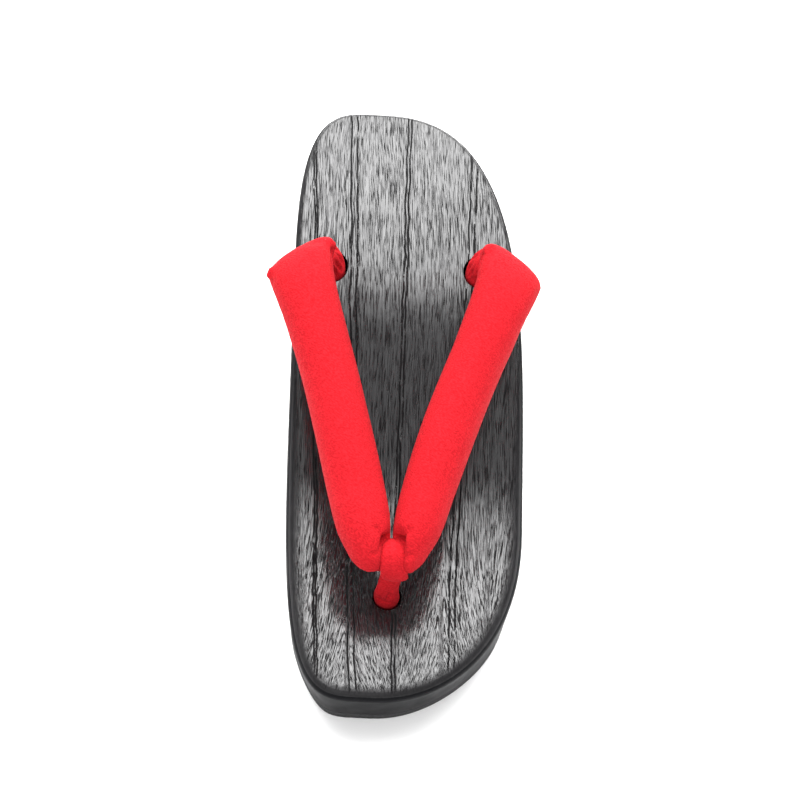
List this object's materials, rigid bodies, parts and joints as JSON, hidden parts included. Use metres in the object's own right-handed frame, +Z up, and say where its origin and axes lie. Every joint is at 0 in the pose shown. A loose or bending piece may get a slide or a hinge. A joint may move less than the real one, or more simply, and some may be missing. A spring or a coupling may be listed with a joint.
{
  "type": "geta sandal",
  "caption": "Left women's geta sandal with a boat-shaped black lacquered wooden base, rubber soles, a thick padded red cloth strap and a toe loop",
  "frame": {"origin": "on the floor, under the middle of the sandal's box", "axes": "+Z up, toe to -Y, heel to +Y, little-toe side to +X, big-toe side to -X"},
  "size_m": [0.0986, 0.235, 0.0764],
  "materials": {
    "lacquered_wood": "black gloss lacquer over brushed open-grained wood",
    "sole_rubber": "matt black sheet rubber",
    "red_crepe": "matt red crepe cloth over soft padding"
  },
  "bodies": {
    "root": {"wood_base": "lacquered_wood", "front_rubber_sole": "sole_rubber", "heel_rubber_sole": "sole_rubber", "strap": "red_crepe", "toe_loop": "red_crepe"}
  },
  "joints": []
}
